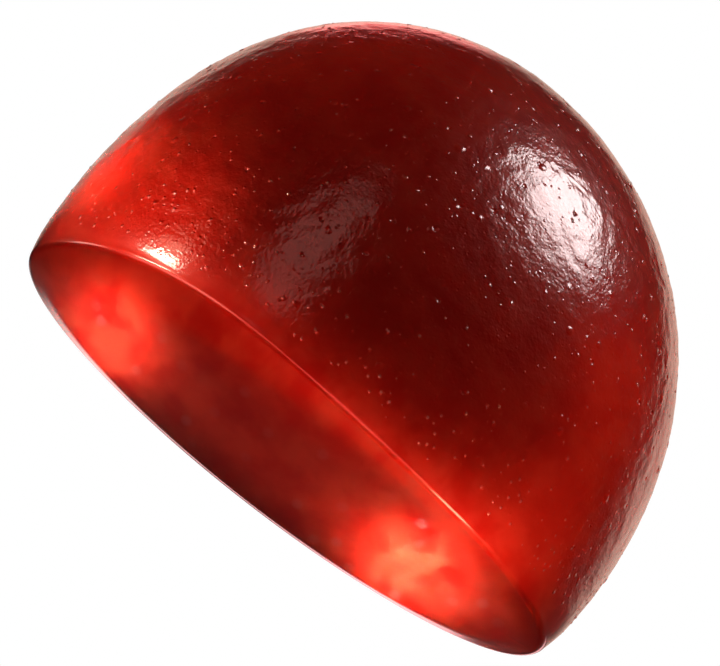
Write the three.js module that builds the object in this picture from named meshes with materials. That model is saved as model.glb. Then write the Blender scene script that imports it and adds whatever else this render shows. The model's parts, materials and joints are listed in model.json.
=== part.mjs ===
// A dome-shaped gummy candy, one solid piece of clear red jelly.
// Hot jelly is poured into a hollow pressed in starch and left to set. The hollow shapes the tall rounded
// dome, and the poured surface sets level and becomes the flat base. The candy stands on that base.
// Millimetres, +Z up, with the origin on the base under the middle of the outline.
import * as THREE from 'three';
import { mergeVertices } from 'three/addons/utils/BufferGeometryUtils.js';

// Driving dimensions of the dome
const BASE_RADIUS = 9.9;
const HEIGHT = 14.1;
const RIM_ROUND = 0.25; // radius of the rounding where the base meets the wall

// Meridian of the wall: (radius / BASE_RADIUS) squared + (share of the height) ^ SHOULDER = 1
const SHOULDER = 2.68; // over 2 keeps the wall steep low down and turns it in near the top

// The wall swells a little on its lower half
const SWELL = 0.28;
const SWELL_LEVEL = 0.42; // share of the height at which the swelling is fullest

// The dome set slightly crooked: its middle moves along X with height
const LOW_LEAN = 0.39;
const APEX_SHIFT = -0.66;

// Over one arc of the rim the jelly crept up the mould, so the edge of the base curls away from the table
const FLAT_RADIUS = 7.4; // inside this the base is level all round
const CURL_HEIGHT = 0.55;
const CURL_ANGLE = THREE.MathUtils.degToRad(236);
const CURL_SHARPNESS = 5.4; // power of the cosine that fades the curl to both sides
const CURL_FADE = 3; // power that fades the curl up the wall

// Fineness of the mesh
const SIDES = 72;
const BASE_RINGS = 3;
const RIM_STEPS = 5;
const WALL_STEPS = 22;

const JELLY_RED = 0x8a0c0a;
const JELLY_ROUGHNESS = 0.25;

// Radius of the wall at a share of the height above the rim rounding.
function wallRadius(share) {
  const meridian = Math.sqrt(1 - Math.pow(share, SHOULDER));
  const level = share / SWELL_LEVEL;
  const swelling = (SWELL / BASE_RADIUS) * level * Math.exp(1 - level);
  return BASE_RADIUS * meridian * (1 + swelling);
}

// Half section from the middle of the base, round the rim and up the wall to the apex.
function halfSection() {
  const points = [new THREE.Vector2(0, 0), new THREE.Vector2(FLAT_RADIUS, 0)];
  const rimStart = BASE_RADIUS - RIM_ROUND;
  for (let i = 1; i < BASE_RINGS; i += 1) {
    points.push(new THREE.Vector2(THREE.MathUtils.lerp(FLAT_RADIUS, rimStart, i / BASE_RINGS), 0));
  }
  for (let i = 0; i < RIM_STEPS; i += 1) {
    const angle = ((i / RIM_STEPS) * Math.PI) / 2;
    const radius = rimStart + RIM_ROUND * Math.sin(angle);
    points.push(new THREE.Vector2(radius, RIM_ROUND * (1 - Math.cos(angle))));
  }
  for (let i = 0; i < WALL_STEPS; i += 1) {
    const share = Math.sin(((i / WALL_STEPS) * Math.PI) / 2);
    points.push(new THREE.Vector2(wallRadius(share), THREE.MathUtils.lerp(RIM_ROUND, HEIGHT, share)));
  }
  points.push(new THREE.Vector2(0, HEIGHT));
  return points;
}

// Leans the turned dome and curls up one arc of its rim.
function setCrooked(geometry) {
  const position = geometry.getAttribute('position');
  const point = new THREE.Vector3();
  for (let i = 0; i < position.count; i += 1) {
    point.fromBufferAttribute(position, i);
    const share = point.z / HEIGHT;
    const outward = THREE.MathUtils.smoothstep(Math.hypot(point.x, point.y), FLAT_RADIUS, BASE_RADIUS);
    const facing = Math.max(0, Math.cos(Math.atan2(point.y, point.x) - CURL_ANGLE));
    point.z += CURL_HEIGHT * outward * Math.pow(facing, CURL_SHARPNESS) * Math.pow(1 - share, CURL_FADE);
    point.x += LOW_LEAN * share * (1 - share) + APEX_SHIFT * share * share;
    position.setXYZ(i, point.x, point.y, point.z);
  }
}

function gummyGeometry() {
  const turned = new THREE.LatheGeometry(halfSection(), SIDES);
  turned.rotateX(Math.PI / 2); // the lathe turns about Y, and the candy stands along Z
  turned.deleteAttribute('normal');
  turned.deleteAttribute('uv');
  const closed = mergeVertices(turned);
  setCrooked(closed);
  closed.computeVertexNormals();
  return closed;
}

function gummy() {
  const jelly = new THREE.MeshStandardMaterial({
    color: JELLY_RED,
    roughness: JELLY_ROUGHNESS,
    metalness: 0,
  });
  const mesh = new THREE.Mesh(gummyGeometry(), jelly);
  mesh.name = 'gummy';
  return mesh;
}

const candy = new THREE.Group();
candy.add(gummy());

export default candy;
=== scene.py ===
# %% [markdown]
# A dome-shaped gummy candy of clear red jelly. The imported solid is loaded first and stays where it is.
# Everything below is made around it, in metres, in the solid's own frame: the candy stands on its flat
# base, its origin is in the middle of that base, and +Z goes up through the crown. The box that the solid
# fills is measured, and its height is used for the skin.

# %% Load the imported solid
import json
import math

import bpy
from mathutils import Matrix, Vector

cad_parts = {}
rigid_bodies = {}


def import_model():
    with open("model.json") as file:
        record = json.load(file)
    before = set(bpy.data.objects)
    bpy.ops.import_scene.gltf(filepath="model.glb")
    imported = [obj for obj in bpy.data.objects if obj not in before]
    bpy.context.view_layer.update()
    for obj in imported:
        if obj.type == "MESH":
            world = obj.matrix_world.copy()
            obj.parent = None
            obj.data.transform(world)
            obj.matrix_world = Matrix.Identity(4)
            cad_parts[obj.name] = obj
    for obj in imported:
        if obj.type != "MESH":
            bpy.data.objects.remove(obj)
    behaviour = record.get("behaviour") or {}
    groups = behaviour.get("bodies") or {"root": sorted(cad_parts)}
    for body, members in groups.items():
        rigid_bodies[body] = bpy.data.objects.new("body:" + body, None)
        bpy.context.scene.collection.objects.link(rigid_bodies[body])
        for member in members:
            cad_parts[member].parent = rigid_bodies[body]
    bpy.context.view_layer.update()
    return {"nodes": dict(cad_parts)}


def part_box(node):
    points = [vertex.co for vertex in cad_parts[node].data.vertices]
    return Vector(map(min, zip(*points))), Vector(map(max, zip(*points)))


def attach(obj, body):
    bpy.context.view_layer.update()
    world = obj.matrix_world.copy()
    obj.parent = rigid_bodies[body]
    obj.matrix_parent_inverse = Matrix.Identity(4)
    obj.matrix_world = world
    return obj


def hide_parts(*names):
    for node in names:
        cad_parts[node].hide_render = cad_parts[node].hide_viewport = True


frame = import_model()
MM = 0.001
solid = frame["nodes"]["gummy"]
low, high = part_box("gummy")
height = high.z - low.z
print("solid", [round(size / MM, 2) for size in high - low], "mm")

# %% [markdown]
# The camera looks at the candy from just below its base, and it is rolled, so the candy seems to be tipped
# over in the air. A long lens at some distance keeps the dome's outline nearly free of perspective. One way
# to place such a camera is by Euler angles, but with a roll they are hard to read. Here the three axes of
# the camera are worked out and put into its matrix as columns. The aim is moved a little from the middle of
# the dome, so that the candy sits in the picture as it does in the photograph.

# %% Camera
LENS = 242.4
CLIP_START = 1 * MM
VIEW_DISTANCE = 148.5 * MM
VIEW_ELEVATION = math.radians(-12.98)
VIEW_ROLL = math.radians(37.84)
AIM_RIGHT = -1.785 * MM
AIM_UP = -1.594 * MM


def place_camera():
    """Adds the camera at the photograph's angle to the candy."""
    back = Vector((0, -math.cos(VIEW_ELEVATION), math.sin(VIEW_ELEVATION)))
    level = Vector((1, 0, 0))
    upright = back.cross(level)
    right = level * math.cos(VIEW_ROLL) + upright * math.sin(VIEW_ROLL)
    up = upright * math.cos(VIEW_ROLL) - level * math.sin(VIEW_ROLL)
    aim = Vector((0, 0, height / 2)) + right * AIM_RIGHT + up * AIM_UP
    turn = Matrix((right, up, back)).transposed().to_4x4()
    bpy.ops.object.camera_add()
    camera = bpy.context.object
    camera.data.lens = LENS
    camera.data.clip_start = CLIP_START
    camera.matrix_world = Matrix.Translation(aim + back * VIEW_DISTANCE) @ turn
    bpy.context.scene.camera = camera
    return camera


camera = place_camera()
print("camera at", [round(c / MM, 1) for c in camera.location], "mm")

# %% [markdown]
# The solid is made of flat facets, which would show in a glossy skin. A copy of it, merged at its corners
# and turned back into four-sided faces, becomes a smooth body with a subdivision surface. It only serves as
# a mould: the fine skin is pressed against it and it is then thrown away.

# %% Smooth mould from the solid
MERGE_DISTANCE = 0.001 * MM
MOULD_LEVELS = 2


def select_only(piece):
    """Makes one object the only selected one and the active one."""
    bpy.ops.object.select_all(action="DESELECT")
    piece.select_set(True)
    bpy.context.view_layer.objects.active = piece


def apply_modifier(piece, kind, **settings):
    """Adds a modifier with its settings and applies it."""
    select_only(piece)
    bpy.ops.object.modifier_add(type=kind)
    modifier = piece.modifiers[-1]
    for name, value in settings.items():
        setattr(modifier, name, value)
    bpy.ops.object.modifier_apply(modifier=modifier.name)


def smooth_mould():
    """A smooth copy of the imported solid."""
    select_only(solid)
    bpy.ops.object.duplicate()
    mould = bpy.context.object
    bpy.ops.object.parent_clear(type="CLEAR_KEEP_TRANSFORM")
    bpy.ops.object.mode_set(mode="EDIT")
    bpy.ops.mesh.select_all(action="SELECT")
    bpy.ops.mesh.remove_doubles(threshold=MERGE_DISTANCE)
    bpy.ops.mesh.tris_convert_to_quads()
    bpy.ops.object.mode_set(mode="OBJECT")
    apply_modifier(mould, "SUBSURF", levels=MOULD_LEVELS, render_levels=MOULD_LEVELS)
    return mould


mould = smooth_mould()
print("mould faces", len(mould.data.polygons))

# %% [markdown]
# The skin needs small, even faces, because its pimples are only a few tenths of a millimetre across. A
# turned shape with all its faces meeting at the crown would crowd them there. So only the base ring, the
# rim and the wall are spun from a half section. It follows nearly the solid's own curve, in finer steps.

# %% Half section of the skin
SIDES = 440
BASE_RADIUS = 9.9 * MM
RIM_ROUND = 0.25 * MM
SHOULDER = 2.68
LEVEL_RADIUS = 7.2 * MM
CROWN_RADIUS = 7.5 * MM
BASE_STEPS = 10
RIM_STEPS = 8
WALL_STEPS = 90


def half_section():
    """Points of the section from the level base, round the rim and up the wall to the crown."""
    rim_start = BASE_RADIUS - RIM_ROUND
    base = [(LEVEL_RADIUS + (rim_start - LEVEL_RADIUS) * i / BASE_STEPS, 0.0) for i in range(BASE_STEPS)]
    turns = [math.pi / 2 * i / RIM_STEPS for i in range(RIM_STEPS)]
    rim = [(rim_start + RIM_ROUND * math.sin(a), RIM_ROUND * (1 - math.cos(a))) for a in turns]
    top = (1 - (CROWN_RADIUS / BASE_RADIUS) ** 2) ** (1 / SHOULDER)
    shares = [top * i / WALL_STEPS for i in range(WALL_STEPS + 1)]
    wall = [(BASE_RADIUS * math.sqrt(1 - s**SHOULDER), RIM_ROUND + (height - RIM_ROUND) * s) for s in shares]
    return base + rim + wall


section = half_section()
print("section of", len(section), "points")

# %% [markdown]
# A single point is extruded along the section and the line is spun round. The crown is closed with a square
# grid and the level base with one face. The scatter further down goes through the faces in their order, and
# spin doesn't always leave the same order. The faces are therefore sorted by their distance from a point
# far off to one side.

# %% Spin the section and close it
SORT_FROM = (31 * MM, 17 * MM, -23 * MM)


def fill_open_ring(piece, at_top):
    """Closes the open ring at the top with a square grid, or the one at the bottom with a face."""
    bpy.ops.mesh.select_mode(type="EDGE")
    bpy.ops.mesh.select_all(action="DESELECT")
    bpy.ops.mesh.select_non_manifold()
    bpy.ops.object.mode_set(mode="OBJECT")
    mesh = piece.data
    open_edges = [edge.index for edge in mesh.edges if edge.select]
    bpy.ops.object.mode_set(mode="EDIT")
    bpy.ops.mesh.select_all(action="DESELECT")
    bpy.ops.object.mode_set(mode="OBJECT")
    for index in open_edges:
        edge = mesh.edges[index]
        edge.select = (mesh.vertices[edge.vertices[0]].co.z > height / 2) == at_top
    bpy.ops.object.mode_set(mode="EDIT")
    if at_top:
        bpy.ops.mesh.fill_grid(span=SIDES // 4)
    else:
        bpy.ops.mesh.edge_face_add()


def spun_skin():
    """Spins the half section, closes both ends and sorts the faces."""
    points = [Vector((r, 0, z)) for r, z in section]
    bpy.ops.object.select_all(action="DESELECT")
    bpy.ops.mesh.primitive_plane_add(size=1 * MM, location=(0, 0, 0))
    skin = bpy.context.object
    skin.name = skin.data.name = "gummy_jelly"
    bpy.ops.object.mode_set(mode="EDIT")
    bpy.ops.mesh.select_all(action="SELECT")
    bpy.ops.mesh.merge(type="CENTER")
    bpy.ops.transform.translate(value=points[0])
    for start, end in zip(points, points[1:]):
        bpy.ops.mesh.extrude_vertices_move(TRANSFORM_OT_translate={"value": end - start})
    bpy.ops.mesh.select_all(action="SELECT")
    bpy.ops.mesh.spin(steps=SIDES, angle=2 * math.pi, center=(0, 0, 0), axis=(0, 0, 1))
    bpy.ops.mesh.select_all(action="SELECT")
    bpy.ops.mesh.remove_doubles(threshold=MERGE_DISTANCE)
    fill_open_ring(skin, at_top=True)
    fill_open_ring(skin, at_top=False)
    bpy.ops.mesh.select_all(action="SELECT")
    bpy.ops.mesh.normals_make_consistent(inside=False)
    bpy.context.scene.cursor.location = SORT_FROM
    bpy.ops.mesh.sort_elements(type="CURSOR_DISTANCE", elements={"FACE"})
    bpy.context.scene.cursor.location = (0, 0, 0)
    bpy.ops.object.mode_set(mode="OBJECT")
    return skin


skin = spun_skin()
print("skin faces", len(skin.data.polygons))

# %% [markdown]
# On one side the jelly crept up the mould while it set, so the rim curls up there. By hand this is one pull
# with proportional editing. The shrinkwrap that follows brings every point of the skin onto the smooth
# mould, which also gives the dome its slight lean.

# %% Curl the rim and press the skin onto the mould
CURL_HEIGHT = 0.55 * MM
CURL_ANGLE = math.radians(236)
CURL_REACH = 6 * MM
CURL_HOLD = math.radians(8)
RIM_TOP = 1.01 * RIM_ROUND  # a little over, so that rounding errors leave out no point of the rim
rim = [
    vertex.index
    for vertex in skin.data.vertices
    if vertex.co.xy.length > BASE_RADIUS - RIM_ROUND and vertex.co.z < RIM_TOP
]


def select_rim(piece, half_arc):
    """Goes into edit mode with a stretch of the rim selected, to both sides of the curl's angle."""
    bpy.ops.object.mode_set(mode="EDIT")
    bpy.ops.mesh.select_mode(type="VERT")
    bpy.ops.mesh.select_all(action="DESELECT")
    bpy.ops.object.mode_set(mode="OBJECT")
    for index in rim:
        vertex = piece.data.vertices[index]
        turn = math.atan2(vertex.co.y, vertex.co.x) - CURL_ANGLE
        vertex.select = math.cos(turn) >= math.cos(half_arc)
    bpy.ops.object.mode_set(mode="EDIT")


def lift_rim(piece, lift, reach, half_arc=math.pi):
    """Lifts a stretch of the rim, and less and less of what lies within reach of it."""
    select_rim(piece, half_arc)
    bpy.ops.transform.translate(
        value=(0, 0, lift),
        use_proportional_edit=True,
        proportional_edit_falloff="SMOOTH",
        proportional_size=reach,
    )
    bpy.ops.object.mode_set(mode="OBJECT")


lift_rim(skin, CURL_HEIGHT, CURL_REACH, CURL_HOLD)
apply_modifier(skin, "SHRINKWRAP", target=mould, wrap_method="NEAREST_SURFACEPOINT")
bpy.data.objects.remove(mould)
print("rim of", len(rim), "points, curled up by", round(CURL_HEIGHT / MM, 2), "mm")

# %% [markdown]
# The poured edge now gets what the plain solid leaves out: it shrank as it dried, so it is rolled up by a
# tenth of a millimetre and drawn in a little all round. These are two more proportional pulls. The narrow
# hollow that they leave at the foot of the wall is what draws the bright line along the rim.

# %% Roll and pinch the poured edge
ROLL_HEIGHT = 0.1 * MM
ROLL_REACH = 1.1 * MM
PINCH = 0.07 * MM
PINCH_REACH = 0.9 * MM


def pinch_rim(piece, depth, reach):
    """Draws the whole rim inwards, so that the foot of the wall turns under."""
    select_rim(piece, math.pi)
    share = 1 - depth / BASE_RADIUS
    bpy.ops.transform.resize(
        value=(share, share, 1),
        center_override=(0, 0, 0),
        use_proportional_edit=True,
        proportional_edit_falloff="SHARP",
        proportional_size=reach,
    )
    bpy.ops.object.mode_set(mode="OBJECT")


lift_rim(skin, ROLL_HEIGHT, ROLL_REACH)
pinch_rim(skin, PINCH, PINCH_REACH)
lowest, highest = skin.bound_box[0], skin.bound_box[6]
print("skin from", [round(c / MM, 2) for c in lowest], "to", [round(c / MM, 2) for c in highest], "mm")

# %% [markdown]
# The starch mould leaves the dome with an orange-peel skin, while the poured base and its edge set smooth.
# The relief could be painted where it belongs with a weight brush. Here vertex groups hold how much of it
# each point gets, by its height above the rim under it: the slow waves only reach their full depth well up
# the dome, and the pimples and the grain start close above the rim. A third group marks the foot of the
# wall, where most of the specks sit.

# %% Where the relief and the specks go
DOME_FROM, DOME_FULL = 0.1, 3.8
WALL_FROM, WALL_FULL = 0.2, 1.8
FOOT_FROM, FOOT_FULL, FOOT_FADES, FOOT_ENDS = 0.3, 0.7, 1.0, 2.8
SPECKS_LOST = 0.8


def rise(above, none, full):
    """A smooth step from 0 to 1 between two heights in millimetres."""
    share = min(max((above / MM - none) / (full - none), 0), 1)
    return share * share * (3 - 2 * share)


def column(point):
    """The number of the spun column that a point lies in."""
    return round(math.atan2(point.y, point.x) / (2 * math.pi) * SIDES) % SIDES


def mark_faces(piece):
    """Adds vertex groups for the slow waves, for the finer relief and for the specks at the foot."""
    groups = {name: piece.vertex_groups.new(name=name) for name in ("dome", "wall", "foot")}
    rim_tops = {}
    for index in rim:
        point = piece.data.vertices[index].co
        rim_tops[column(point)] = max(point.z, rim_tops.get(column(point), 0))
    for vertex in piece.data.vertices:
        above = vertex.co.z - rim_tops.get(column(vertex.co), 0)
        foot_left = 1 - SPECKS_LOST * rise(above, FOOT_FADES, FOOT_ENDS)
        shares = {
            "dome": rise(above, DOME_FROM, DOME_FULL),
            "wall": rise(above, WALL_FROM, WALL_FULL),
            "foot": rise(above, FOOT_FROM, FOOT_FULL) * foot_left,
        }
        for name, share in shares.items():
            groups[name].add([vertex.index], share, "REPLACE")


mark_faces(skin)
print("groups", [group.name for group in skin.vertex_groups])

# %% [markdown]
# A bump in the material could draw the peel, but the highlights and the outline show real hills, so they
# are raised from the mesh. Three Displace modifiers do it, from slow waves to a fine grain.

# %% Orange-peel relief
# Name, spacing and depth in millimetres, and the group that it follows
RELIEF = (
    ("slow_waves", 1.6, 0.05, "dome"),
    ("pimples", 0.42, 0.034, "wall"),
    ("grain", 0.24, 0.024, "wall"),
)


def raise_relief(piece):
    """Displaces the skin by each pattern of RELIEF."""
    for name, spacing, depth, group in RELIEF:
        texture = bpy.data.textures.new(name, "CLOUDS")
        texture.noise_scale = spacing * MM
        texture.noise_depth = 1
        apply_modifier(piece, "DISPLACE", texture=texture, strength=depth * MM, vertex_group=group)


raise_relief(skin)
bpy.ops.object.shade_smooth()
print("relief", [name for name, *_ in RELIEF])

# %% [markdown]
# Small air bubbles rose to the skin while the jelly was hot. Some stand out as low blisters, and some burst
# and left pits. Near the foot, fine specks stand out from the skin as tiny raised beads. They
# could be placed by hand or with a particle system. Geometry nodes keep a least distance between them,
# follow the vertex groups and give the same result each time. The beads are modelled once each, as a sphere
# that is sunk into the skin, and carry a number that tells the material how pale to paint them. On the specks
# this paleness is a painted glint: a pale pink that stands in for the highlights on the tiny beads.


# %% Beads for blisters, specks and pits
def add_node(tree, kind, inputs=None, **settings):
    """Adds a node, sets its options, and fills its inputs with values or links from other nodes' outputs."""
    node = tree.nodes.new(kind)
    for name, value in settings.items():
        setattr(node, name, value)
    for name, value in (inputs or {}).items():
        if isinstance(value, bpy.types.NodeSocket):
            tree.links.new(value, node.inputs[name])
        else:
            node.inputs[name].default_value = value
    return node


def sunk_bead(segments, sunk):
    """A sphere of radius 1 whose middle lies below the skin by a share of its radius."""
    bpy.ops.object.select_all(action="DESELECT")
    bpy.ops.mesh.primitive_uv_sphere_add(segments=segments, ring_count=segments // 2, radius=1)
    bpy.ops.object.mode_set(mode="EDIT")
    bpy.ops.transform.translate(value=(0, 0, -sunk))
    bpy.ops.object.mode_set(mode="OBJECT")
    return bpy.context.object


def scattered_beads(name, piece, group, bead, density, spacing, smallest, largest, flatness, pale, seed):
    """Copies of a bead over a vertex group, as one mesh. Sizes in mm, density per square mm."""
    tree = bpy.data.node_groups.new(name, "GeometryNodeTree")
    tree.interface.new_socket("Geometry", in_out="OUTPUT", socket_type="NodeSocketGeometry")
    ground = add_node(tree, "GeometryNodeObjectInfo", {"Object": piece})
    share = add_node(tree, "GeometryNodeInputNamedAttribute", {"Name": group})
    points = add_node(
        tree,
        "GeometryNodeDistributePointsOnFaces",
        {
            "Mesh": ground.outputs["Geometry"],
            "Distance Min": spacing * MM,
            "Density Max": density / MM**2,
            "Density Factor": share.outputs["Attribute"],
            "Seed": seed,
        },
        distribute_method="POISSON",
    )
    size = add_node(tree, "FunctionNodeRandomValue", {2: smallest * MM, 3: largest * MM, "Seed": seed})
    shape = add_node(tree, "ShaderNodeCombineXYZ", {"X": 1.0, "Y": 1.0, "Z": flatness})
    scale = add_node(
        tree,
        "ShaderNodeVectorMath",
        {0: shape.outputs[0], "Scale": size.outputs[1]},
        operation="SCALE",
    )
    placed = add_node(
        tree,
        "GeometryNodeInstanceOnPoints",
        {
            "Points": points.outputs["Points"],
            "Instance": add_node(tree, "GeometryNodeObjectInfo", {"Object": bead}).outputs["Geometry"],
            "Rotation": points.outputs["Rotation"],
            "Scale": scale.outputs[0],
        },
    )
    real = add_node(tree, "GeometryNodeRealizeInstances", {0: placed.outputs[0]})
    marked = add_node(
        tree,
        "GeometryNodeStoreNamedAttribute",
        {"Geometry": real.outputs[0], "Name": "paleness", "Value": pale},
        data_type="FLOAT",
        domain="POINT",
    )
    add_node(tree, "NodeGroupOutput", {0: marked.outputs[0]})
    bpy.ops.mesh.primitive_cube_add(size=1 * MM)
    beads = bpy.context.object
    beads.name = name
    apply_modifier(beads, "NODES", node_group=tree)
    return beads


# Name, group, segments, sunk share, beads per square mm, least distance, radii, flatness, paleness, seed
BLISTERS = ("blisters", "dome", 16, 0.6, 0.16, 1.1, 0.11, 0.19, 0.35, 0.0, 3)
# The specks' paleness paints a pale pink glint on each tiny bead, in place of its highlights
SPECKS = ("specks", "foot", 8, 0.2, 4.4, 0.2, 0.026, 0.06, 0.4, 0.85, 5)
PITS = ("pits", "dome", 8, -0.5, 0.35, 0.7, 0.05, 0.1, 0.5, 0.0, 8)
scattered = {}
for name, group, segments, sunk, *settings in (BLISTERS, SPECKS, PITS):
    bead = sunk_bead(segments, sunk)
    beads = scattered_beads(name, skin, group, bead, *settings)
    print(name, len(beads.data.vertices) // len(bead.data.vertices))
    bpy.data.objects.remove(bead)
    scattered[name] = beads

# %% [markdown]
# Beads that only rest on a clear skin would show their hidden halves through it, and a ray of light would
# cross two surfaces where the jelly has one. Boolean modifiers therefore join the blisters and specks to
# the skin and cut the pits out of it, so that one closed surface is left.

# %% Join the blisters and specks, cut the pits
for name, operation in (("blisters", "UNION"), ("specks", "UNION"), ("pits", "DIFFERENCE")):
    apply_modifier(skin, "BOOLEAN", operation=operation, solver="MANIFOLD", object=scattered[name])
    bpy.data.objects.remove(scattered[name])
select_only(skin)
bpy.ops.object.shade_smooth()
print("skin triangles", sum(len(p.vertices) - 2 for p in skin.data.polygons))

# %% [markdown]
# The finest part of the skin is finer than the mesh can hold: dots a fifth of a millimetre apart, and
# wrinkles half as wide, that the starch grains printed into the jelly. They could be displaced too, but
# that would take millions of faces, so they are a bump. Each Voronoi cell holds one round dot, some raised
# and some hollow. A dot fades out before it meets the border of its cell, because a step there would show
# as a thin line. The base and the rim are left smooth.

# %% Fine skin of the jelly
DOT_SPACING = 0.2 * MM
DOT_RADIUS = 0.3
BORDER_FADE = 0.15
DEEPEST_DOT, HIGHEST_DOT = -0.55, 0.7
WRINKLE_WIDTH = 0.12 * MM
WRINKLE_SHARE = 0.55
SKIN_FROM, SKIN_FULL = 0.7 * MM, 1.6 * MM
SKIN_DEPTH = 0.02 * MM
jelly = bpy.data.materials.new("red_gelatine_jelly_moulded")
jelly.use_nodes = True
jelly.node_tree.nodes.clear()


def printed_dots(tree, place):
    """A round dot in each cell, raised or hollow."""
    cells = add_node(tree, "ShaderNodeTexVoronoi", {"Vector": place, "Scale": 1 / DOT_SPACING})
    dot = add_node(
        tree,
        "ShaderNodeMapRange",
        {
            "Value": cells.outputs["Distance"],
            "From Min": 0.0,
            "From Max": DOT_RADIUS,
            "To Min": 1.0,
            "To Max": 0.0,
        },
        interpolation_type="SMOOTHSTEP",
    )
    borders = add_node(
        tree,
        "ShaderNodeTexVoronoi",
        {"Vector": place, "Scale": 1 / DOT_SPACING},
        feature="DISTANCE_TO_EDGE",
    )
    inside = add_node(
        tree,
        "ShaderNodeMapRange",
        {"Value": borders.outputs["Distance"], "From Min": 0.0, "From Max": BORDER_FADE},
        interpolation_type="SMOOTHSTEP",
    )
    whole = add_node(tree, "ShaderNodeMath", {0: dot.outputs[0], 1: inside.outputs[0]}, operation="MULTIPLY")
    pick = add_node(tree, "ShaderNodeSeparateColor", {0: cells.outputs["Color"]})
    rises = add_node(
        tree,
        "ShaderNodeMapRange",
        {"Value": pick.outputs[0], "To Min": DEEPEST_DOT, "To Max": HIGHEST_DOT},
    )
    dots = add_node(tree, "ShaderNodeMath", {0: whole.outputs[0], 1: rises.outputs[0]}, operation="MULTIPLY")
    return dots.outputs[0]


def fine_skin(tree):
    """Bump of dots and wrinkles that fades out towards the rim and the base."""
    place = add_node(tree, "ShaderNodeTexCoord").outputs["Object"]
    wrinkles = add_node(
        tree,
        "ShaderNodeTexNoise",
        {"Vector": place, "Scale": 1 / WRINKLE_WIDTH, "Detail": 1.0},
    )
    both = add_node(
        tree,
        "ShaderNodeMath",
        {0: wrinkles.outputs["Fac"], 1: WRINKLE_SHARE, 2: printed_dots(tree, place)},
        operation="MULTIPLY_ADD",
    )
    up = add_node(tree, "ShaderNodeSeparateXYZ", {0: place}).outputs["Z"]
    share = add_node(
        tree,
        "ShaderNodeMapRange",
        {"Value": up, "From Min": SKIN_FROM, "From Max": SKIN_FULL},
        interpolation_type="SMOOTHSTEP",
    )
    relief = add_node(tree, "ShaderNodeMath", {0: both.outputs[0], 1: share.outputs[0]}, operation="MULTIPLY")
    bump = add_node(
        tree,
        "ShaderNodeBump",
        {"Height": relief.outputs[0], "Strength": 1.0, "Distance": SKIN_DEPTH},
    )
    return bump.outputs["Normal"]


skin_normal = fine_skin(jelly.node_tree)
print("fine skin: dots", round(DOT_SPACING / MM, 2), "mm apart,", round(SKIN_DEPTH / MM, 2), "mm deep")

# %% [markdown]
# The red of a poured gummy is not quite even. The syrup sets in faint clouds, which show best on the smooth
# base. They could be a volume inside the jelly, but that takes long to render, so a soft noise mixes two
# reds at the surface. The clouds are drawn out along Y, because the base is seen at a low angle and they
# run away from the viewer in it.

# %% Clouds in the red
DEEP_RED, BRIGHT_RED = "#d8130a", "#fe3620"
CLOUD_SIZE = 1.3 * MM
CLOUD_DRAWN_OUT = 0.3
CLOUD_DETAIL, CLOUD_SWIRL = 3.0, 0.2
CLOUD_LOW, CLOUD_HIGH = 0.34, 0.66
BASE_CONTRAST, WALL_CONTRAST = 1.0, 0.45
CONTRAST_FROM, CONTRAST_TO = 0.2 * MM, 1.5 * MM
jelly_place = add_node(jelly.node_tree, "ShaderNodeTexCoord").outputs["Object"]
jelly_up = add_node(jelly.node_tree, "ShaderNodeSeparateXYZ", {0: jelly_place}).outputs["Z"]


def linear(hex_colour):
    """An sRGB hex colour as linear RGBA."""
    parts = [int(hex_colour[i : i + 2], 16) / 255 for i in (1, 3, 5)]
    return (*[p / 12.92 if p <= 0.04045 else ((p + 0.055) / 1.055) ** 2.4 for p in parts], 1)


def clouds(tree, place, up):
    """Two reds in soft clouds, with more contrast on the base than on the wall."""
    lobes = add_node(
        tree,
        "ShaderNodeVectorMath",
        {0: place, 1: (1, CLOUD_DRAWN_OUT, 1)},
        operation="MULTIPLY",
    )
    noise = add_node(
        tree,
        "ShaderNodeTexNoise",
        {
            "Vector": lobes.outputs[0],
            "Scale": 1 / CLOUD_SIZE,
            "Detail": CLOUD_DETAIL,
            "Distortion": CLOUD_SWIRL,
        },
    )
    cloudy = add_node(
        tree,
        "ShaderNodeMapRange",
        {
            "Value": noise.outputs["Fac"],
            "From Min": CLOUD_LOW,
            "From Max": CLOUD_HIGH,
            "To Min": -0.5,
            "To Max": 0.5,
        },
        interpolation_type="SMOOTHSTEP",
    )
    contrast = add_node(
        tree,
        "ShaderNodeMapRange",
        {
            "Value": up,
            "From Min": CONTRAST_FROM,
            "From Max": CONTRAST_TO,
            "To Min": BASE_CONTRAST,
            "To Max": WALL_CONTRAST,
        },
    )
    mixed = add_node(
        tree,
        "ShaderNodeMath",
        {0: cloudy.outputs[0], 1: contrast.outputs[0], 2: 0.5},
        operation="MULTIPLY_ADD",
    )
    red = add_node(
        tree,
        "ShaderNodeMix",
        {0: mixed.outputs[0], 6: linear(DEEP_RED), 7: linear(BRIGHT_RED)},
        data_type="RGBA",
    )
    return red.outputs[2]


cloudy_red = clouds(jelly.node_tree, jelly_place, jelly_up)
print("reds", DEEP_RED, BRIGHT_RED, "in clouds of", round(CLOUD_SIZE / MM, 2), "mm")

# %% [markdown]
# A few air bubbles lie just under the base as faint pale spots. As real spheres they would need a second
# surface inside the jelly for a very small effect, so they are round spots in its colour, drawn out along Y
# as the clouds are.

# %% Bubbles under the base
BUBBLE_PINK = "#ff8474"
BUBBLE_SPACING = 1.5 * MM
BUBBLE_DRAWN_OUT = 0.24
BUBBLE_CORE, BUBBLE_EDGE = 0.06, 0.16
BUBBLE_STRENGTH = 0.3
BASE_LEVEL, BASE_END = 0.01 * MM, 0.03 * MM


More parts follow.
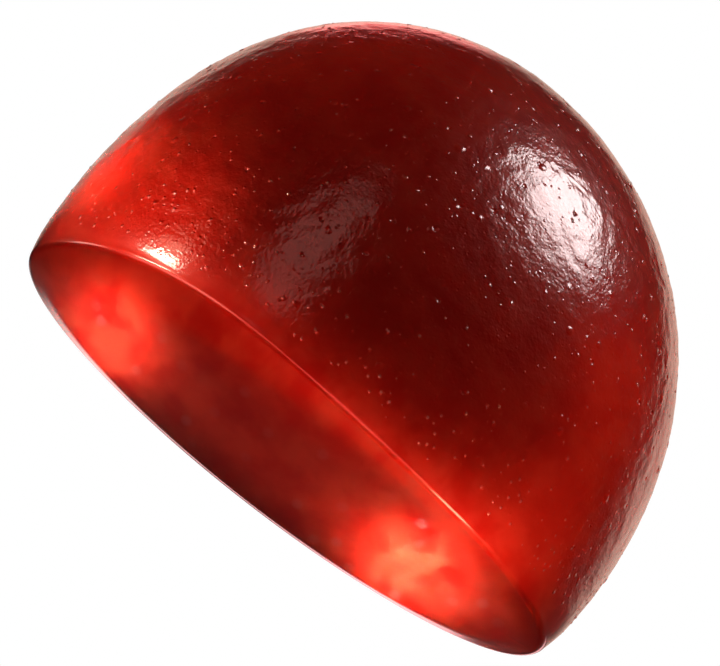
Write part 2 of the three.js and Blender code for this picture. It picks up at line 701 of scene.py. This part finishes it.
def base_bubbles(tree, place, up):
    """Share of the pale bubbles under the base, each of its own strength."""
    drawn_out = add_node(
        tree,
        "ShaderNodeVectorMath",
        {0: place, 1: (1, BUBBLE_DRAWN_OUT, 0)},
        operation="MULTIPLY",
    )
    cells = add_node(
        tree,
        "ShaderNodeTexVoronoi",
        {"Vector": drawn_out.outputs[0], "Scale": 1 / BUBBLE_SPACING},
        voronoi_dimensions="2D",
    )
    round_spot = add_node(
        tree,
        "ShaderNodeMapRange",
        {
            "Value": cells.outputs["Distance"],
            "From Min": BUBBLE_CORE,
            "From Max": BUBBLE_EDGE,
            "To Min": 1.0,
            "To Max": 0.0,
        },
        interpolation_type="SMOOTHSTEP",
    )
    pick = add_node(tree, "ShaderNodeSeparateColor", {0: cells.outputs["Color"]})
    spots = add_node(
        tree,
        "ShaderNodeMath",
        {0: round_spot.outputs[0], 1: pick.outputs[0]},
        operation="MULTIPLY",
    )
    on_base = add_node(
        tree,
        "ShaderNodeMapRange",
        {
            "Value": up,
            "From Min": BASE_LEVEL,
            "From Max": BASE_END,
            "To Min": BUBBLE_STRENGTH,
            "To Max": 0.0,
        },
    )
    shown = add_node(
        tree,
        "ShaderNodeMath",
        {0: spots.outputs[0], 1: on_base.outputs[0]},
        operation="MULTIPLY",
    )
    return shown.outputs[0]


bubble_share = base_bubbles(jelly.node_tree, jelly_place, jelly_up)
print("bubbles about", round(BUBBLE_SPACING / MM, 2), "mm apart")

# %% [markdown]
# The bubbles and the painted glint of the specks lie over the clouds. The specks read their paleness from the
# number that the beads carry, so that the painted glint follows each bead exactly.

# %% Red of the jelly with its bubbles and the specks' painted glint
# Pale pink painted on the specks, a painted glint in place of their highlights
SPECK_GLINT_PINK = "#ff6a58"


def whole_red(tree, red, bubbles):
    """The red with the bubbles of the base and, over it, the painted glint of the specks."""
    bubbled = add_node(
        tree,
        "ShaderNodeMix",
        {0: bubbles, 6: red, 7: linear(BUBBLE_PINK)},
        data_type="RGBA",
    )
    # The specks are painted pale pink by their paleness: a painted glint on each bead
    paleness = add_node(tree, "ShaderNodeAttribute", attribute_name="paleness")
    speck_glints = add_node(
        tree,
        "ShaderNodeMix",
        {0: paleness.outputs["Fac"], 6: bubbled.outputs[2], 7: linear(SPECK_GLINT_PINK)},
        data_type="RGBA",
    )
    return speck_glints.outputs[2]


jelly_red = whole_red(jelly.node_tree, cloudy_red, bubble_share)
# The pale pink printed first is the painted glint of the specks
print("starch", SPECK_GLINT_PINK, "bubbles", BUBBLE_PINK)

# %% [markdown]
# Gelatine jelly is clear and soft inside, with a wet gloss. Most of its light goes through it and is dimmed
# on the way, which makes the thick middle nearly black and lets thin parts glow. The rest is scattered
# within a millimetre or so below the skin. One way is a plain glass with an absorbing volume, but that
# stays black wherever no lamp shines straight through. So the surface is glass mixed with subsurface
# scattering, with the red scattered farthest, and the volume takes out green and blue. The wet gloss is a
# thin coat. The glass itself mirrors nothing but a little red, because two mirrors on one skin would double
# every highlight.

# %% Jelly
SCATTER_DEPTH = 1 * MM
GLASS_TINT = "#ff897c"
ABSORPTION_TINT = "#cb9559"


def jelly_body(tree, colour, normal):
    """Clear red gelatine jelly: glass and soft scattering under a thin coat, and an absorbing volume."""
    shader = add_node(
        tree,
        "ShaderNodeBsdfPrincipled",
        {
            "Base Color": colour,
            "Roughness": 0.3,
            "IOR": 1.45,
            "Specular IOR Level": 0.0,
            "Specular Tint": linear(GLASS_TINT),
            "Transmission Weight": 0.85,
            "Subsurface Weight": 1.0,
            "Subsurface Scale": SCATTER_DEPTH,
            "Subsurface Radius": (1.5, 0.4, 0.25),
            "Coat Weight": 1.0,
            "Coat Roughness": 0.08,
            "Coat IOR": 1.4,
            "Normal": normal,
            "Coat Normal": normal,
        },
    )
    absorption = add_node(
        tree,
        "ShaderNodeVolumeAbsorption",
        {"Color": linear(ABSORPTION_TINT), "Density": 100.0},
    )
    add_node(
        tree,
        "ShaderNodeOutputMaterial",
        {"Surface": shader.outputs["BSDF"], "Volume": absorption.outputs["Volume"]},
    )


jelly_body(jelly.node_tree, jelly_red, skin_normal)
skin.data.materials.clear()
skin.data.materials.append(jelly)
print("material", jelly.name, "with", len(jelly.node_tree.nodes), "nodes")

# %% [markdown]
# The photograph shows the candy cut out on white, seen from below the table. A floor is still needed for
# the other views, so it is a round plate under the candy that is see-through from below and fades out
# towards its edge, where the white of the surroundings takes over. It is hidden from all rays but the
# camera's, because a bright floor close under the jelly would light it from below.

# %% Floor
FLOOR_RADIUS = 160 * MM
FLOOR_SIDES = 96
FLOOR_DROP = 0.02 * MM
FLOOR_PALE = "#f2f0ee"
FLOOR_GLOW = 0.42
FADE_FROM, FADE_TO = 35 * MM, 110 * MM


def pale_floor_paint():
    """Matt pale paint with a faint glow of its own, clear from below and far from the candy."""
    material = bpy.data.materials.new("pale_matt_paint")
    material.use_nodes = True
    tree = material.node_tree
    tree.nodes.clear()
    place = add_node(tree, "ShaderNodeTexCoord").outputs["Object"]
    away = add_node(tree, "ShaderNodeVectorMath", {0: place}, operation="LENGTH")
    fade = add_node(
        tree,
        "ShaderNodeMapRange",
        {"Value": away.outputs["Value"], "From Min": FADE_FROM, "From Max": FADE_TO},
        interpolation_type="SMOOTHSTEP",
    )
    below = add_node(tree, "ShaderNodeNewGeometry").outputs["Backfacing"]
    clear_share = add_node(tree, "ShaderNodeMath", {0: fade.outputs[0], 1: below}, operation="MAXIMUM")
    paint = add_node(
        tree,
        "ShaderNodeBsdfPrincipled",
        {
            "Base Color": linear(FLOOR_PALE),
            "Roughness": 0.9,
            "Specular IOR Level": 0.0,
            "Emission Color": linear("#ffffff"),
            "Emission Strength": FLOOR_GLOW,
        },
    )
    clear = add_node(tree, "ShaderNodeBsdfTransparent")
    mix = add_node(
        tree,
        "ShaderNodeMixShader",
        {0: clear_share.outputs[0], 1: paint.outputs["BSDF"], 2: clear.outputs["BSDF"]},
    )
    add_node(tree, "ShaderNodeOutputMaterial", {"Surface": mix.outputs["Shader"]})
    return material


def pale_floor():
    """The floor, a round plate that only the camera sees."""
    bpy.ops.object.select_all(action="DESELECT")
    bpy.ops.mesh.primitive_circle_add(
        vertices=FLOOR_SIDES,
        radius=FLOOR_RADIUS,
        fill_type="NGON",
        location=(0, 0, -FLOOR_DROP),
    )
    floor = bpy.context.object
    floor.name = "floor"
    floor.data.materials.append(pale_floor_paint())
    for kind in ("diffuse", "glossy", "transmission", "volume_scatter", "shadow"):
        setattr(floor, "visible_" + kind, False)
    return floor


floor = pale_floor()
print("floor", round(floor.dimensions.x / MM), "mm across")

# %% [markdown]
# A clear candy is lit in three ways at once: its gloss mirrors the lamps, light from behind shines through
# it, and light that strikes the skin soaks in and glows. In a studio each is set with a lamp of its own, by
# trial. Here every lamp is a soft oval that faces the candy, and it can be kept from the kinds of ray that
# it is not meant for: a mirrored lamp only gives highlights, a through lamp is only seen through the jelly,
# and a soaked lamp only feeds the glow. The soaked lamps light nothing but the candy. No lamp is seen by
# the camera.

# %% Softbox
# The kinds of ray that don't see a lamp
MIRRORED = ("transmission", "diffuse")
THROUGH = ("glossy", "diffuse")
SOAKED = ("transmission", "glossy")
FAR_AWAY = 150
CANDY_MIDDLE = (0, 0, 7)
WHITE = (1.0, 1.0, 1.0)
candy_only = bpy.data.collections.new("candy_only")
candy_only.objects.link(skin)


def softbox(
    name,
    azimuth,
    elevation,
    width,
    tall,
    radiance,
    unseen=(),
    distance=FAR_AWAY,
    aim=CANDY_MIDDLE,
    core=0.5,
    colour=WHITE,
):
    """Adds an oval light that faces the candy, at full strength over a share of its radius, the core.

    Azimuth 0 is behind the candy (+Y), 90 to its right (+X). Lengths are in millimetres.
    """
    a, e = math.radians(azimuth), math.radians(elevation)
    towards = Vector((math.sin(a) * math.cos(e), math.cos(a) * math.cos(e), math.sin(e)))
    area = math.pi / 4 * width * tall * MM * MM
    bpy.ops.object.light_add(type="AREA")
    box = bpy.context.object
    box.name = name
    box.data.shape = "ELLIPSE"
    box.data.size = width * MM
    box.data.size_y = tall * MM
    box.data.energy = radiance * math.pi * area
    box.data.color = colour
    box.data.use_nodes = True
    tree = box.data.node_tree
    tree.nodes.clear()
    spot = add_node(tree, "ShaderNodeNewGeometry").outputs["Parametric"]
    from_middle = add_node(tree, "ShaderNodeVectorMath", {0: spot, 1: (0.5, 0.5, 0)}, operation="DISTANCE")
    strength = add_node(
        tree,
        "ShaderNodeMapRange",
        {"Value": from_middle.outputs["Value"], "From Min": 0.5, "From Max": 0.5 * core},
        interpolation_type="SMOOTHSTEP",
    )
    glow = add_node(tree, "ShaderNodeEmission", {"Strength": strength.outputs[0]})
    add_node(tree, "ShaderNodeOutputLight", {"Surface": glow.outputs[0]})
    box.location = (Vector(aim) + towards * distance) * MM
    box.rotation_euler = towards.to_track_quat("Z", "Y").to_euler()
    for kind in ("camera", *unseen):
        setattr(box, "visible_" + kind, False)
    if unseen == SOAKED:
        box.light_linking.receiver_collection = candy_only
    print("lamp", name, round(box.data.energy, 5), "W")


# %% [markdown]
# The key is a large soft light high on the right, with a bright core that only the gloss sees. A tall strip
# on the left draws the dim band down the front of the dome.

# %% Key and front strip
# Name, azimuth, elevation, width, height, radiance, and the rays that don't see it
softbox("key", 113, 69, 112, 96, 3.4, core=0.8)
softbox("key_core", 111, 71, 100, 86, 11, MIRRORED)
softbox("front_strip", -144, 15, 70, 176, 1.3, MIRRORED, core=0.3, colour=(1.0, 0.58, 0.5))

# %% [markdown]
# The rim is a tight rounding, so it mirrors a wide field of view in a narrow line. Lamps that stand below
# the level of the base show there and hardly anywhere else on the candy: a warm white hot spot on the left
# with a haze round it, a salmon line to both sides of it, red along the front and a yellow spark on the
# right.

# %% Lights along the rim
softbox("rim_hot", -101, -11, 60, 16, 90, MIRRORED, core=0.2, colour=(1.0, 0.88, 0.66))
softbox("rim_haze", -105, -2, 56, 40, 4, MIRRORED, core=0.2, colour=(1.0, 0.85, 0.6))
softbox("rim_line", -106, -34, 150, 90, 6, MIRRORED, colour=(1.0, 0.42, 0.33))
softbox("rim_line_left", -66, -17, 70, 44, 6, MIRRORED, colour=(1.0, 0.5, 0.4))
softbox("rim_red_left", -128, -36, 120, 80, 6, MIRRORED, colour=(1.0, 0.14, 0.11))
softbox("rim_red", 172, -46, 260, 84, 8, MIRRORED, colour=(1.0, 0.12, 0.1))
softbox("rim_spark", 112, -42, 48, 84, 20, MIRRORED, colour=(1.0, 0.7, 0.4))

# %% [markdown]
# Skin that is seen edge-on mirrors what lies behind the candy. Dim, tinted softboxes there give the outline
# its pink and grey sheen on the right and at the top, and a thin pale line along the far edge of the base.

# %% Sheen along the outline
softbox("sheen_back", 8, 21, 290, 110, 0.8, MIRRORED, colour=(1.0, 0.65, 0.52))
softbox("sheen_top", -16, 32, 60, 50, 1.6, MIRRORED, colour=(1.0, 0.2, 0.2))
softbox("sheen_low", -8, -4, 46, 30, 1.0, MIRRORED, core=0.1, colour=(1.0, 0.8, 0.74))
softbox("sheen_edge", 12, -2, 130, 20, 2.0, MIRRORED, colour=(1.0, 0.5, 0.5))

# %% [markdown]
# Light from behind shines through the jelly. It comes out red, and darkest where the dome is thickest.

# %% Light through the jelly
softbox("glow_right", 30, 14, 80, 70, 2.9, THROUGH)
softbox("glow_left", -30, 14, 80, 70, 1.3, THROUGH)
softbox("glow_back", 0, 36, 80, 70, 1.2, THROUGH)
softbox("glow_top", 0, 58, 80, 70, 0.6, THROUGH)
softbox("glow_right_high", 30, 36, 80, 70, 1.2, THROUGH)
softbox("glow_side_left", -30, -8, 80, 70, 0.6, THROUGH)

# %% [markdown]
# The last lamps soak into the skin. Two large ones fill the sides of the dome. Small ones close to the skin
# make the glow on the left of the wall, the glow that spreads to both sides of the front rim, and the two
# bright patches that shine out of the base.

# %% Light soaked into the jelly
# The near ones also have a distance and the point that they face
softbox("soak_right", 108, 20, 110, 150, 9.2, SOAKED)
softbox("soak_left", -105, 20, 110, 150, 5.5, SOAKED)
softbox("soak_glow", -111, 6, 4.0, 2.0, 52, SOAKED, 2, (-9.3, -3.6, 2.7))
softbox("soak_rim_left", -152, -35, 8, 1.6, 8, SOAKED, 2, (-4.6, -8.65, 0.5))
softbox("soak_rim_mid", 175, -65, 8, 1.6, 9, SOAKED, 2, (0.8, -9.3, 0.1))
softbox("soak_rim_right", 148, -65, 8, 1.6, 23, SOAKED, 2, (4.8, -7.9, 0.1))
softbox("soak_foot_left", -152, -12, 6, 0.7, 6, SOAKED, 1.1, (-3.6, -9.15, 0.75))
softbox("soak_foot_mid", 178, -12, 7, 0.7, 6, SOAKED, 1.1, (0.3, -9.85, 0.4))
softbox("soak_foot_right", 148, -12, 6, 0.7, 11, SOAKED, 1.1, (5.2, -8.35, 0.35))
softbox("under_all", 0, -90, 24, 24, 0.55, SOAKED, 8, (0, 0, 0))
softbox("under_left", 0, -90, 2.8, 16, 29, SOAKED, 1, (-6.4, 0.5, 0))
softbox("under_right", 0, -90, 2, 19, 132, SOAKED, 1, (5.2, 0.8, 0), core=0.2)

# %% [markdown]
# The surroundings are white for the camera and nearly black for every other ray. An evenly white room would
# be mirrored all over the gloss and wash out the deep red. The standard view transform keeps the white pure
# and the reds saturated.

# %% Surroundings
ROOM_GREY = 0.004


def surroundings():
    """White behind the candy, dim everywhere else."""
    world = bpy.data.worlds.new("studio")
    bpy.context.scene.world = world
    world.use_nodes = True
    tree = world.node_tree
    tree.nodes.clear()
    path = add_node(tree, "ShaderNodeLightPath")
    dim = add_node(
        tree,
        "ShaderNodeBackground",
        {"Color": (ROOM_GREY, ROOM_GREY, ROOM_GREY, 1), "Strength": 1.0},
    )
    white = add_node(tree, "ShaderNodeBackground", {"Color": (1, 1, 1, 1), "Strength": 1.0})
    mix = add_node(
        tree,
        "ShaderNodeMixShader",
        {0: path.outputs["Is Camera Ray"], 1: dim.outputs["Background"], 2: white.outputs["Background"]},
    )
    add_node(tree, "ShaderNodeOutputWorld", {"Surface": mix.outputs["Shader"]})


surroundings()
bpy.context.scene.view_settings.view_transform = "Standard"
print("surroundings", bpy.context.scene.world.name)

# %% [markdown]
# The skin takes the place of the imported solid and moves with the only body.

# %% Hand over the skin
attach(skin, "root")
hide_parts("gummy")
